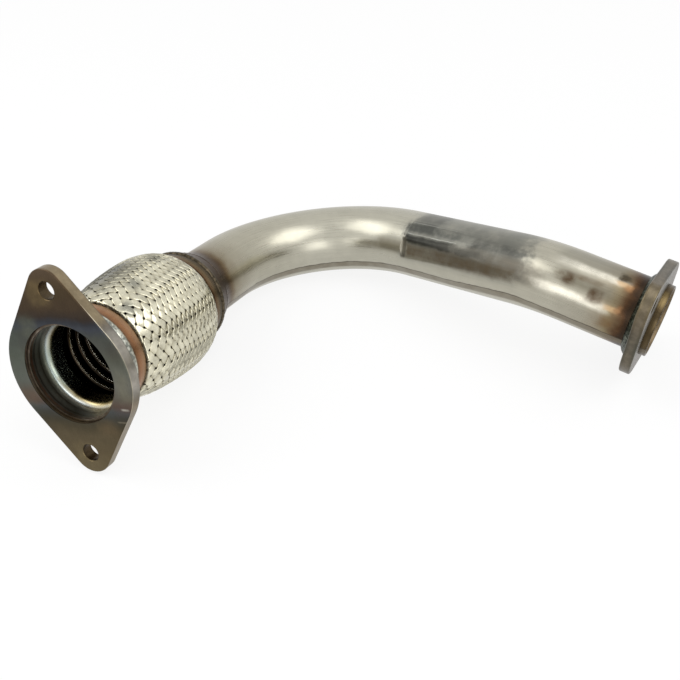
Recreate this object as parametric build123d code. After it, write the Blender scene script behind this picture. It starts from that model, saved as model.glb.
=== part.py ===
from build123d import *
import os
from math import acos, cos, radians, sin, tan

# Front exhaust pipe: two-bolt inlet flange, braided flexible joint, bent tube, two-bolt outlet flange.
# Millimetres and degrees. +Z is up, and the pipe lies on z = 0 as it comes to rest on a flat floor.
# A place along a straight end is its distance s behind that end's first plane.

# Route of the tube: where its straight runs would cross, as the reach along the inlet run's plan,
# the distance to its side, and the height
inlet_height = 60.5
first_corner_reach = 278.0
first_corner_height = 7.3
second_corner_reach = 197.8
second_corner_side = 210.2
second_corner_height = 55.6
outlet_reach = 190.7
outlet_side = 283.1
outlet_height = 45.1
first_bend_radius = 79.0
second_bend_radius = 89.0
inlet_bolt_tilt = -11.9
outlet_bolt_tilt = -46.2

# Tube
pipe_od = 45.0
pipe_wall = 1.5
flare_length = 12.0
flare_lap = 4.5

# Two facets pressed side by side into the second run, deepest where they start
press_depth = 1.1
press_start = 11.0
press_length = 80.0
press_ramp = 1.5
press_turns = (-48.0, -14.0)

# Flanges
bolt_pitch = 98.0
bolt_hole = 10.5
ear_radius = 12.5
inlet_lobe_radius = 41.5
inlet_flange_thickness = 7.5
outlet_lobe_radius = 36.0
outlet_flange_thickness = 6.5
outlet_proud = 3.8
edge_rounding = 0.8
hole_chamfer = 0.4
fit_clearance = 0.15

# Inlet stub and guide sleeve
stub_od = 60.0
stub_wall = 1.5
stub_setback = 2.0
stub_length = 17.5
sleeve_lip_radius = 4.0
sleeve_wall = 1.2
sleeve_setback = 13.5
sleeve_length = 11.5

# End rings of the flexible joint, from the outside in
joint_length = 94.0
ferrule_length = 10.3
ferrule_wall = 0.9
ferrule_rounding = 0.4
braid_wall = 1.1
bellows_wall = 0.6
backing_wall = 1.0

# Bellows: its roots and crests are set from the outside of the end rings
root_count = 10
bellows_land = 2.5
root_depth = 4.5
crest_rise = 1.0

# Braid barrel: how far its rims and its belly stand out from the end rings, and how it swells
# between them as (share of the length, share of the swell)
braid_rim_rise = 1.4
braid_belly_rise = 8.7
braid_rim_step = 0.4
braid_swell = [(0, 0), (0.09, 0.31), (0.19, 0.58), (0.31, 0.77), (0.43, 0.89), (0.55, 0.97),
               (0.66, 1.0), (0.75, 0.97), (0.83, 0.85), (0.9, 0.66), (0.95, 0.38), (1, 0)]

# Weave of the braid: bundles that wind each way, rows of crossings along it, where those lie as
# (share of the rows, share of the length), and the height and gaps of the bundles
bundle_count = 24
crossing_rows = 30
crossing_places = [(0, 0), (0.23, 0.26), (0.3, 0.324), (0.83, 0.8), (1, 1)]
first_crossing_angle = -3.1
ridge_height = 0.5
ridge_end_height = 0.25
gap_share = 0.15
gap_rows = (3, 9, 15, 21, 27)

# Collar between the flexible joint and the pipe
collar_length = 10.5
collar_land = 1.6
collar_wall = 1.3
collar_neck_od = 52.8

# Weld beads
flange_bead_leg = 3.5
outlet_bead_leg = 4.0
cuff_bead_width = 4.4
cuff_bead_height = 0.8
collar_bead_leg = 2.6
bead_swell = 0.3

inlet_point = Vector(0, 0, inlet_height)
first_corner = Vector(first_corner_reach, 0, first_corner_height)
second_corner = Vector(second_corner_reach, -second_corner_side, second_corner_height)
outlet_point = Vector(outlet_reach, -outlet_side, outlet_height)
stub_radius = stub_od / 2
pipe_radius = pipe_od / 2
joint_start = stub_setback + stub_length
joint_end = joint_start + joint_length
braid_start = joint_start + ferrule_length
braid_end = joint_end - ferrule_length
ferrule_inner = stub_radius - ferrule_wall
cuff_radius = ferrule_inner - braid_wall
cuff_inner = cuff_radius - bellows_wall
backing_inner = cuff_inner - backing_wall
convolution_pitch = (joint_length - 2 * (ferrule_length + bellows_land)) / (root_count - 0.5)
braid_rim_radius = stub_radius + braid_rim_rise
collar_end = joint_end + collar_length
collar_bore = stub_radius - collar_wall
collar_neck_bore = collar_neck_od / 2 - collar_wall
pipe_start = collar_end - flare_lap


def end_plane(point, toward, tilt):
    """Plane at a tube end: z runs into the tube, x along the bolt line, tilted from upright."""
    inward = (toward - point).normalized()
    upright = (Vector(0, 0, 1) - inward * inward.Z).normalized()
    bolt_line = upright.rotate(Axis((0, 0, 0), inward), tilt)
    return Plane(origin=point, x_dir=bolt_line, z_dir=inward)


def turned(outline):
    """Solid of revolution from (radius, s) corners, about the local z axis."""
    return revolve(Plane.XZ * make_face(Polyline(*outline, close=True)), Axis.Z)


def turned_edges(edges):
    """Solid of revolution from lines and arcs drawn in radius and s."""
    return revolve(Plane.XZ * make_face(edges), Axis.Z)


def ring(inner, outer, start, end):
    """Plain tube between two radii and two places."""
    return turned([(inner, start), (outer, start), (outer, end), (inner, end)])


def ferrule(start, end):
    """End ring that clamps the braid, its outer rims rounded over."""
    band = ring(ferrule_inner, stub_radius, start, end)
    rims = band.edges().filter_by(GeomType.CIRCLE).sort_by(SortBy.RADIUS)[-2:]
    return fillet(rims, ferrule_rounding)


def two_bolt_plate(lobe_radius, thickness, bore_radius, start):
    """Oval two-bolt flange: a lobe, two ears and the straight flanks between them."""
    reach = bolt_pitch / 2
    turn = acos((lobe_radius - ear_radius) / reach)
    across, along = sin(turn), cos(turn)
    quarter = [
        (reach + ear_radius * along, ear_radius * across),
        (lobe_radius * along, lobe_radius * across),
    ]
    flanks = quarter + [(-x, y) for x, y in reversed(quarter)]
    flanks += [(x, -y) for x, y in reversed(flanks)]
    plate = make_face(Polyline(*flanks, close=True)) + Circle(lobe_radius)
    plate += [Pos(x, 0) * Circle(ear_radius) for x in (-reach, reach)]
    solid = extrude(plate, thickness)
    flat_faces = solid.faces().sort_by(Axis.Z)
    solid = fillet(flat_faces[0].edges() + flat_faces[-1].edges(), edge_rounding)
    solid -= Cylinder(bore_radius, thickness, align=(Align.CENTER, Align.CENTER, Align.MIN))
    for x in (-reach, reach):
        hole = Cylinder(bolt_hole / 2, thickness, align=(Align.CENTER, Align.CENTER, Align.MIN))
        mouth = Cone(bolt_hole / 2 + hole_chamfer, bolt_hole / 2, hole_chamfer,
                     align=(Align.CENTER, Align.CENTER, Align.MIN))
        solid -= Pos(x, 0) * hole
        solid -= Pos(x, 0) * mouth
        solid -= Pos(x, 0, thickness) * Rot(180, 0, 0) * mouth
    return Pos(0, 0, start) * solid


def corner_bead(radius, s, leg):
    """Fillet weld in the corner between a wall of this radius and a face at s."""
    middle = leg / 2 + bead_swell
    crown = ThreePointArc((radius + leg, s), (radius + middle, s + middle), (radius, s + leg))
    legs = Polyline((radius, s + leg), (radius, s), (radius + leg, s))
    return turned_edges([crown, legs])


def seam_bead(radius, middle, width, height):
    """Low rounded bead laid over a joint in a wall of this radius."""
    low, high = middle - width / 2, middle + width / 2
    crown = ThreePointArc((radius, low), (radius + height, middle), (radius, high))
    return turned_edges([crown, Line((radius, high), (radius, low))])


def guide_sleeve():
    """Rolled lip that leaves the stub's wall and turns into a short guide sleeve."""
    wall = stub_radius - stub_wall
    centre = sleeve_setback + sleeve_lip_radius
    inside = sleeve_lip_radius - sleeve_wall
    throat = wall - sleeve_lip_radius
    back = throat + sleeve_wall
    end = sleeve_setback + sleeve_length
    return turned_edges([
        CenterArc((wall, centre), sleeve_lip_radius, 180, 90),
        Line((throat, centre), (throat, end)),
        Line((throat, end), (back, end)),
        Line((back, end), (back, centre)),
        CenterArc((wall, centre), inside, 180, 90),
        Line((wall, centre - inside), (wall, sleeve_setback)),
    ])


def bellows_wave(offset):
    """One surface of the bellows from cuff to cuff, this far outside the middle of its wall."""
    middle = (joint_start + joint_end) / 2
    first_root = middle - convolution_pitch * (root_count - 1) / 2
    turn = convolution_pitch / 4
    root_turn, crest_turn = turn - offset, turn + offset
    cuff = cuff_radius - bellows_wall / 2 + offset
    low = stub_radius - root_depth + bellows_wall / 2 + turn
    high = stub_radius + crest_rise - bellows_wall / 2 - turn
    land_end = first_root - turn + offset
    edges = [Line((cuff, joint_start), (cuff, land_end))]
    edges.append(Line((cuff, land_end), (low, first_root - root_turn)))
    for index in range(root_count):
        s = first_root + index * convolution_pitch
        edges.append(ThreePointArc((low, s - root_turn), (low - root_turn, s), (low, s + root_turn)))
        if index < root_count - 1:
            peak = s + convolution_pitch / 2
            edges.append(Line((low, s + root_turn), (high, peak - crest_turn)))
            edges.append(ThreePointArc((high, peak - crest_turn), (high + crest_turn, peak),
                                       (high, peak + crest_turn)))
            edges.append(Line((high, peak + crest_turn), (low, peak + convolution_pitch / 2 - root_turn)))
    last = 2 * middle - first_root
    land_start = last + turn - offset
    edges.append(Line((low, last + root_turn), (cuff, land_start)))
    edges.append(Line((cuff, land_start), (cuff, joint_end)))
    return edges


def bellows_tube():
    """Thin convoluted tube with a plain cuff at each end."""
    outer = bellows_wave(bellows_wall / 2)
    inner = bellows_wave(-bellows_wall / 2)
    ends = [Line((cuff_radius, s), (cuff_inner, s)) for s in (joint_start, joint_end)]
    return turned_edges(outer + inner + ends)


def between(stops, share):
    """Value at this share along a list of (share, value) stops, in straight lines."""
    low = max(stop for stop in stops if stop[0] <= share)
    high = min(stop for stop in stops if stop[0] >= share)
    if high[0] == low[0]:
        return low[1]
    return low[1] + (high[1] - low[1]) * (share - low[0]) / (high[0] - low[0])


def braid_point(row, column, depth):
    """Point of the braid by crossing row and half bundle around, this deep below its outside."""
    low, high = braid_start + braid_rim_step, braid_end - braid_rim_step
    share = between(crossing_places, row / crossing_rows)
    rise = braid_belly_rise - braid_rim_rise
    radius = braid_rim_radius + rise * between(braid_swell, share) - depth
    angle = radians(first_crossing_angle + 180 / bundle_count * column)
    return Vector(radius * cos(angle), radius * sin(angle), low + (high - low) * share)


def corner_toward(corner, other, depth):
    """Corner of a crossing's lozenge, moved toward the next corner where it borders a gap."""
    place = braid_point(*corner, depth)
    if corner[0] not in gap_rows:
        return place
    return place + (braid_point(*other, depth) - place) * gap_share


def is_on_top(column, side):
    """True where the bundle that leaves a crossing through this side lies on top there.

    Right-hand bundles leave through the even sides. They go over two crossings and under two.
    """
    return (side % 2 == 0) == ((column - 1) % 4 < 2)


def facet(*points):
    """Flat face from its corners."""
    return Face(Wire.make_polygon(points))


def crossing_faces(row, column):
    """Faces of the braid above and below one crossing, and the walls of the gaps beside it."""
    corners = [(row + 1, column), (row, column + 1), (row - 1, column), (row, column - 1)]
    sides = {0: (3, 0), crossing_rows: (1, 2)}.get(row, (0, 1, 2, 3))
    top = braid_point(row, column, 0)
    faces = []
    below = [] if len(sides) == 4 else [braid_point(row, column, braid_wall)]
    for side in sides:
        first, second, third = (corners[(side + step) % 4] for step in range(3))
        start = corner_toward(first, second, ridge_height)
        end = corner_toward(second, first, ridge_height)
        if is_on_top(column, side):
            goes_on = is_on_top(column + (1, 1, -1, -1)[side], side)
            depth = 0 if goes_on else ridge_height - ridge_end_height
            ridge = braid_point((first[0] + second[0]) / 2, (first[1] + second[1]) / 2, depth)
            faces += [facet(top, start, ridge), facet(top, ridge, end)]
            if not goes_on:
                faces.append(facet(start, end, ridge))
        else:
            faces.append(facet(top, start, end))
        below.append(corner_toward(first, second, braid_wall))
        if second[0] in gap_rows:
            onward = corner_toward(second, third, ridge_height)
            rim = [corner_toward(second, other, braid_wall) for other in (first, third)]
            below.append(rim[0])
            faces += [facet(top, end, onward), facet(onward, end, rim[0]), facet(onward, rim[0], rim[1])]
    if len(sides) == 2:
        below.append(corner_toward(second, first, braid_wall))
    faces += [facet(below[0], here, before) for before, here in zip(below[1:], below[2:])]
    return faces


def tail_faces(row, start, mouth):
    """Faces of one end of the braid, tucked between the end ring and the bellows."""
    columns = range(2 * bundle_count)
    flat = cos(radians(90 / bundle_count))
    turns = [radians(first_crossing_angle + 180 / bundle_count * column) for column in columns]
    inner = cuff_radius / flat
    rings = [[braid_point(row, column, (row + column) % 2 * ridge_height) for column in columns]]
    for radius, s in ((ferrule_inner, mouth), (ferrule_inner, start), (inner, start), (inner, mouth)):
        rings.append([Vector(radius * cos(turn), radius * sin(turn), s) for turn in turns])
    rings.append([braid_point(row, column, braid_wall) for column in columns])
    faces = []
    for near, far in zip(rings, rings[1:]):
        for column in columns:
            low, high = near[column - 1], near[column]
            far_low, far_high = far[column - 1], far[column]
            if near is rings[0]:
                faces += [facet(low, high, far_high), facet(low, far_high, far_low)]
            else:
                faces.append(facet(low, high, far_high, far_low))
    return faces


def woven_braid():
    """Braid of flat bundles over the bellows, its two ends tucked under the end rings."""
    faces = tail_faces(0, joint_start, braid_start) + tail_faces(crossing_rows, joint_end, braid_end)
    for row in range(crossing_rows + 1):
        for column in range(row % 2, 2 * bundle_count, 2):
            faces += crossing_faces(row, column)
    return Solid(Shell(faces))


def collar_bore_at(s):
    """Inner radius of the collar's cone."""
    share = (s - joint_end - collar_land) / (collar_length - collar_land)
    return collar_bore + (collar_neck_bore - collar_bore) * share


def collar():
    """Tapered collar from the end ring down to the flared pipe end."""
    land = joint_end + collar_land
    return turned([
        (collar_bore, joint_end), (stub_radius, joint_end), (stub_radius, land),
        (collar_neck_od / 2, collar_end), (collar_neck_bore, collar_end), (collar_bore, land),
    ])


def flare_radius_at(s):
    """Outer radius of the pipe between the collar's neck and the straight pipe."""
    neck = collar_neck_bore - fit_clearance
    return neck + (pipe_radius - neck) * (s - collar_end) / flare_length


def flare(inset):
    """Plug that fills the flared pipe end up to the straight pipe, set in by this much."""
    straight = collar_end + flare_length
    mouth = collar_bore_at(pipe_start) - fit_clearance
    return turned([
        (0, pipe_start), (mouth - inset, pipe_start), (flare_radius_at(collar_end) - inset, collar_end),
        (pipe_radius - inset, straight), (0, straight),
    ])


def collar_bead():
    """Weld in the step from the collar's rim down to the pipe."""
    foot, top = flare_radius_at(collar_end), collar_neck_od / 2
    far = collar_end + collar_bead_leg
    low = flare_radius_at(far)
    middle = ((top + low) / 2 + bead_swell, (collar_end + far) / 2 + bead_swell)
    crown = ThreePointArc((top, collar_end), middle, (low, far))
    return turned_edges([crown, Polyline((low, far), (foot, collar_end), (top, collar_end))])


def tube_core(radius):
    """Round bar along the whole route."""
    start = inlet_plane.from_local_coords(Vector(0, 0, pipe_start))
    route = FilletPolyline(start, first_corner, second_corner, outlet_point,
                           radius=[first_bend_radius, second_bend_radius])
    section = Plane(origin=route @ 0, z_dir=route % 0) * Circle(radius)
    return sweep(section, path=route)


def press_tool(turn, radius):
    """Wedge beside the second run that leaves a facet in a bar of this radius, deepest at its start."""
    run = (second_corner - first_corner).normalized()
    before = (inlet_point - first_corner).normalized()
    toward_bend = (before - run * before.dot(run)).normalized()
    run_start = first_corner + run * (first_bend_radius / tan(radians(run.get_angle(before)) / 2))
    normal = toward_bend.rotate(Axis((0, 0, 0), run), turn)
    plane = Plane(origin=run_start, x_dir=run, z_dir=run.cross(normal))
    top = pipe_radius + press_depth
    side = make_face(Polyline(
        (press_start - press_ramp, radius), (press_start, radius - press_depth),
        (press_start + press_length, radius), (press_start + press_length, top),
        (press_start - press_ramp, top), close=True))
    return plane * extrude(side, pipe_radius, both=True)


inlet_plane = end_plane(inlet_point, first_corner, inlet_bolt_tilt)
outlet_plane = end_plane(outlet_point, second_corner, outlet_bolt_tilt)


def bent_pipe():
    """Tube with its flared end, two bends and the pressed facets, open right through."""
    bore_radius = pipe_radius - pipe_wall
    outside = tube_core(pipe_radius) + inlet_plane * flare(0)
    inside = tube_core(bore_radius) + inlet_plane * flare(pipe_wall)
    for turn in press_turns:
        outside -= press_tool(turn, pipe_radius)
        inside -= press_tool(turn, bore_radius)
    return outside - inside


at_inlet = {
    "inlet_flange": two_bolt_plate(inlet_lobe_radius, inlet_flange_thickness, stub_radius + fit_clearance, 0),
    "inlet_stub": ring(stub_radius - stub_wall, stub_radius, stub_setback, joint_start),
    "inlet_sleeve": guide_sleeve(),
    "inlet_flange_weld": corner_bead(stub_radius, inlet_flange_thickness, flange_bead_leg),
    "inlet_cuff_weld": seam_bead(stub_radius, joint_start, cuff_bead_width, cuff_bead_height),
    "inlet_ferrule": ferrule(joint_start, braid_start),
    "inlet_backing_ring": ring(backing_inner, cuff_inner, joint_start, braid_start),
    "bellows": bellows_tube(),
    "outer_braid": woven_braid(),
    "outlet_ferrule": ferrule(braid_end, joint_end),
    "outlet_backing_ring": ring(backing_inner, cuff_inner, braid_end, joint_end),
    "outlet_cuff_weld": seam_bead(stub_radius, joint_end, collar_land * 2, cuff_bead_height),
    "outlet_collar": collar(),
    "outlet_collar_weld": collar_bead(),
}
at_outlet = {
    "outlet_flange": two_bolt_plate(outlet_lobe_radius, outlet_flange_thickness,
                                    pipe_radius + fit_clearance, outlet_proud),
    "outlet_flange_weld": corner_bead(pipe_radius, outlet_proud + outlet_flange_thickness, outlet_bead_leg),
}
pieces = {name: inlet_plane * piece for name, piece in at_inlet.items()}
pieces |= {name: outlet_plane * piece for name, piece in at_outlet.items()}
pieces["main_pipe"] = bent_pipe()

# The origin is the middle of the whole part's footprint, on the floor
boxes = [piece.bounding_box() for piece in pieces.values()]
low_x, low_y, floor = (min(getattr(box.min, axis) for box in boxes) for axis in "XYZ")
high_x, high_y = (max(getattr(box.max, axis) for box in boxes) for axis in "XY")
to_origin = Pos(-(low_x + high_x) / 2, -(low_y + high_y) / 2, -floor)
os.makedirs("parts", exist_ok=True)
for name, piece in pieces.items():
    export_step(to_origin * piece, f"parts/{name}.step")
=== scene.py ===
import logging
import math
from dataclasses import dataclass
from enum import Enum
from typing import Any

import bpy
import numpy as np
from mathutils import Matrix, Vector


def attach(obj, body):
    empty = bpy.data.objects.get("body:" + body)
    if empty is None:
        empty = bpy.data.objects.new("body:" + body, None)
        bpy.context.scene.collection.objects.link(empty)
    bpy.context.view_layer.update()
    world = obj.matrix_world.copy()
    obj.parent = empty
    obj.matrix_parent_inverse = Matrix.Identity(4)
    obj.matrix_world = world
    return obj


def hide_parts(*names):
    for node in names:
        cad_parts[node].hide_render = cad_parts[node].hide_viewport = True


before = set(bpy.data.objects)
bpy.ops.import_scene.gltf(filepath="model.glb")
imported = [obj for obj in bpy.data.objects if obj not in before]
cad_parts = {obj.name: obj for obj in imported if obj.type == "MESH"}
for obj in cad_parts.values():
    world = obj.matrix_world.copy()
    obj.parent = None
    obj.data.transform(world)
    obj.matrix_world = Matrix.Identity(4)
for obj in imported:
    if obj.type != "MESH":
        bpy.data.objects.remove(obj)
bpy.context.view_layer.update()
log = logging.getLogger("exhaust_pipe")

MM = 0.001
BODY = "root"
ANY = 1000.0  # half a patch's size, in millimetres, where it has no end
TUBE_RADIUS = 22.5
RING_RADIUS = 30.0  # outside of the stub, the end rings and the collar's wide end
BOLT_REACH = 49.0  # from the near flange's middle to each bolt hole
STILL = (0.0, 0.0, 0.0)  # edges that don't wander
Socket = bpy.types.NodeSocket
Tree = bpy.types.NodeTree
Piece = bpy.types.Object
Material = bpy.types.Material
Pairs = tuple[tuple[float, float], ...]

# Numbers of inputs that share their names, in Map Range and in Mix.
VALUE, FROM_LOW, FROM_HIGH, TO_LOW, TO_HIGH = range(5)
VECTOR, VECTOR_FROM_LOW, VECTOR_FROM_HIGH = 6, 7, 8
SHARE, NUMBER_A, NUMBER_B, COLOUR_A, COLOUR_B = 0, 2, 3, 6, 7

# Nearly all values of a noise lie between such a low and as much below 1: for the fine grain,
# the clouds that thin a patch, and the mottling.
GRAIN_LOW, CLOUD_LOW, MOTTLE_LOW = 0.3, 0.35, 0.25


def linear(hex_colour: str) -> tuple[float, float, float, float]:
    """Turn an sRGB hex colour into a linear colour.

    Args:
        hex_colour: six hex digits, with or without a leading #.

    Returns:
        Red, green, blue and a full alpha.
    """
    digits = hex_colour.lstrip("#")
    parts = [int(digits[i:i + 2], 16) / 255 for i in (0, 2, 4)]
    red, green, blue = (part / 12.92 if part <= 0.04045 else ((part + 0.055) / 1.055) ** 2.4
                        for part in parts)
    return red, green, blue, 1.0


@dataclass(frozen=True)
class Placing:
    """A local frame on the part: an origin in metres and three unit axes, z along the tube."""

    origin: Vector
    x_axis: Vector
    y_axis: Vector
    z_axis: Vector

    @staticmethod
    def at_end(point: Vector, inward: Vector, tilt: float) -> "Placing":
        """Frame on a tube end, its x axis along the bolt line.

        Args:
            point: centre of the end, in metres.
            inward: direction into the tube.
            tilt: degrees that the bolt line leans from upright, about the tube.

        Returns:
            The frame.
        """
        along = inward.normalized()
        upright = (Vector((0, 0, 1)) - along * along.z).normalized()
        bolt_line = Matrix.Rotation(math.radians(tilt), 3, along) @ upright
        return Placing(point, bolt_line, along.cross(bolt_line), along)

    def points(self, local: np.ndarray) -> np.ndarray:
        """Local millimetres, with the last axis x, y, z, as metres in the part's frame."""
        axes = np.array([self.x_axis, self.y_axis, self.z_axis])
        return np.array(self.origin) + (local * MM) @ axes

    def euler(self) -> tuple[float, float, float]:
        """Rotation of this frame, for a Mapping node."""
        return tuple(Matrix((self.x_axis, self.y_axis, self.z_axis)).transposed().to_euler())


@dataclass(frozen=True)
class Route:
    """The tube's centre line: three straight runs and two bends, in millimetres."""

    inlet: Vector = Vector((-126.579, 122.727, 60.701))
    first_corner: Vector = Vector((151.421, 122.727, 7.501))
    second_corner: Vector = Vector((71.221, -87.473, 55.801))
    outlet: Vector = Vector((64.121, -160.373, 45.301))
    first_radius: float = 79.0
    second_radius: float = 89.0
    inlet_tilt: float = -11.9
    outlet_tilt: float = -46.2

    def inlet_placing(self) -> Placing:
        """Frame on the inlet's mating face."""
        return Placing.at_end(self.inlet * MM, self.first_corner - self.inlet, self.inlet_tilt)

    def outlet_placing(self) -> Placing:
        """Frame on the outlet's open end."""
        return Placing.at_end(self.outlet * MM, self.second_corner - self.outlet, self.outlet_tilt)

    def second_run(self) -> tuple[float, Vector, Vector, Vector]:
        """The run between the bends.

        Returns:
            Its distance from the inlet face, its start, its direction, and the cross direction
            that points into the first bend.
        """
        before = (self.inlet - self.first_corner).normalized()
        run = (self.second_corner - self.first_corner).normalized()
        reach = self.first_radius / math.tan(run.angle(before) / 2)
        bend = self.first_radius * (math.pi - run.angle(before))
        gone = (self.first_corner - self.inlet).length - reach + bend
        inward = (before - run * before.dot(run)).normalized()
        return gone, self.first_corner + run * reach, run, inward

    def walk(self, stations: np.ndarray) -> tuple[np.ndarray, ...]:
        """Follow the centre line with cross axes that turn only as the tube does.

        Args:
            stations: distances from the inlet face, rising.

        Returns:
            The place and the two cross axes at each station.
        """
        ahead = (self.first_corner - self.inlet).normalized()
        up = (Vector((0, 0, 1)) - ahead * ahead.z).normalized()
        side = ahead.cross(up)
        place, gone, stops = self.inlet.copy(), 0.0, []
        corners = [(self.first_corner, self.second_corner, self.first_radius),
                   (self.second_corner, self.outlet, self.second_radius)]
        for corner, following, radius in corners:
            onward = (following - corner).normalized()
            turn = ahead.angle(onward)
            axis = ahead.cross(onward).normalized()
            bend = gone + (corner - place).length - radius * math.tan(turn / 2)
            stops += [(place + ahead * (at - gone), up, side) for at in stations if gone <= at < bend]
            place = place + ahead * (bend - gone)
            centre = place + axis.cross(ahead) * radius
            for at in stations[(stations >= bend) & (stations < bend + radius * turn)]:
                spin = Matrix.Rotation((at - bend) / radius, 3, axis)
                stops.append((centre + spin @ (place - centre), spin @ up, spin @ side))
            spin = Matrix.Rotation(turn, 3, axis)
            place, gone = centre + spin @ (place - centre), bend + radius * turn
            ahead, up, side = spin @ ahead, spin @ up, spin @ side
        stops += [(place + ahead * (at - gone), up, side) for at in stations if at >= gone]
        return tuple(np.array([tuple(stop[i]) for stop in stops]) for i in range(3))


ROUTE = Route()
INLET = ROUTE.inlet_placing()
OUTLET = ROUTE.outlet_placing()


def grid_mesh(name: str, places: np.ndarray, marks: dict[str, np.ndarray] | None = None,
              close_rows: bool = False) -> Piece:
    """Make one object from a grid of points that closes around each row.

    Args:
        name: the piece's name.
        places: points in metres, shaped rows x columns x 3.
        marks: extra vectors that each point carries, such as its place on the rolled-out surface.
        close_rows: joins the last row to the first, so that the piece is a closed ring.

    Returns:
        The new object, smooth shaded, riding on the part's body.
    """
    rows, columns = places.shape[:2]
    row = np.arange(rows if close_rows else rows - 1)[:, None]
    column = np.arange(columns)[None, :]
    next_row, next_column = (row + 1) % rows, (column + 1) % columns
    quads = np.stack([row * columns + column, row * columns + next_column,
                      next_row * columns + next_column, next_row * columns + column], -1).reshape(-1, 4)
    mesh = bpy.data.meshes.new(name)
    mesh.from_pydata(places.reshape(-1, 3).tolist(), [], quads.tolist())
    mesh.polygons.foreach_set("use_smooth", [True] * len(mesh.polygons))
    for label, values in (marks or {}).items():
        attribute = mesh.attributes.new(label, "FLOAT_VECTOR", "POINT")
        attribute.data.foreach_set("vector", values.astype(np.float32).ravel())
    mesh.update()
    piece = bpy.data.objects.new(name, mesh)
    bpy.context.scene.collection.objects.link(piece)
    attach(piece, BODY)
    return piece


def join_meshes(name: str, pieces: list[Piece]) -> Piece:
    """Join several new objects into one.

    Args:
        name: the joined piece's name.
        pieces: the objects, which are used up.

    Returns:
        The joined object.
    """
    with bpy.context.temp_override(active_object=pieces[0], selected_editable_objects=pieces,
                                   selected_objects=pieces):
        bpy.ops.object.join()
    pieces[0].name = name
    pieces[0].data.name = name
    return pieces[0]


def add_node(tree: Tree, kind: str, settings: dict[str, Any] | None = None,
             inputs: dict[Any, Any] | None = None, out: int | str = 0,
             stops: list[tuple[float, str]] | None = None) -> Socket:
    """Add one node with its settings and links.

    Args:
        tree: the node tree.
        kind: the node's type without its ShaderNode prefix.
        settings: options of the node by name.
        inputs: values, or sockets to link, by input name or number.
        out: the output to give back.
        stops: for a ramp, its places and hex colours.

    Returns:
        One output socket of the node, or the node's first input if it has no output.
    """
    node = tree.nodes.new("ShaderNode" + kind)
    for name, value in (settings or {}).items():
        setattr(node, name, value)
    if stops:
        elements = node.color_ramp.elements
        while len(elements) < len(stops):
            elements.new(0.5)
        for element, (place, colour) in zip(elements, stops):
            element.position = place
            element.color = linear(colour)
    for key, value in (inputs or {}).items():
        if isinstance(value, Socket):
            tree.links.new(value, node.inputs[key])
        else:
            node.inputs[key].default_value = value
    return node.outputs[out] if len(node.outputs) else node.inputs[0]


def dress(piece: Piece | str, material: Material) -> Piece:
    """Give a piece its finish.

    Args:
        piece: a new piece, or the name of a CAD node.
        material: the finish.

    Returns:
        The piece.
    """
    if isinstance(piece, str):
        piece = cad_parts[piece]
    if piece.data.materials:
        for index in range(len(piece.data.materials)):
            piece.material_slots[index].material = material
    else:
        piece.data.materials.append(material)
    return piece


class Measure(Enum):
    """What the bands of colour follow on a piece: heat colour, and on the braid, bellows and lip also painted
    light and shade.
    """

    X = "X"
    Z = "Z"
    RADIUS = "radius"


@dataclass(frozen=True)
class Bands:
    """Colours that change along one measure of a piece, in millimetres, with edges that wander."""

    measure: Measure
    stops: tuple[tuple[float, str], ...]
    wander_mm: float = 1.0
    cloud_mm: float = 9.0

    def colour(self, tree: Tree, spot: Socket, place: Socket) -> Socket:
        """Build the colour.

        Args:
            tree: the material's tree.
            spot: the measured coordinates, in metres.
            place: the coordinates that the noise follows, in metres.

        Returns:
            The colour socket.
        """
        if self.measure is Measure.RADIUS:
            flat = add_node(tree, "VectorMath", {"operation": "MULTIPLY"}, {0: spot, 1: (1.0, 1.0, 0.0)})
            value = add_node(tree, "VectorMath", {"operation": "LENGTH"}, {0: flat}, out="Value")
        else:
            value = add_node(tree, "SeparateXYZ", inputs={0: spot}, out=self.measure.value)
        cloud = add_node(tree, "TexNoise", inputs={
            "Vector": place, "Scale": 1 / (self.cloud_mm * MM), "Detail": 3.0})
        # The noise lies around a half, so each place shifts by up to about twice the wander either way.
        shifted = add_node(tree, "Math", {"operation": "MULTIPLY_ADD"}, {
            0: cloud, 1: 4 * self.wander_mm * MM, 2: value})
        low, high = self.stops[0][0], self.stops[-1][0]
        share = add_node(tree, "MapRange", inputs={
            VALUE: shifted, FROM_LOW: (low + 2 * self.wander_mm) * MM,
            FROM_HIGH: (high + 2 * self.wander_mm) * MM})
        return add_node(tree, "ValToRGB", inputs={0: share}, stops=[
            ((mm - low) / (high - low), colour) for mm, colour in self.stops])


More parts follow.
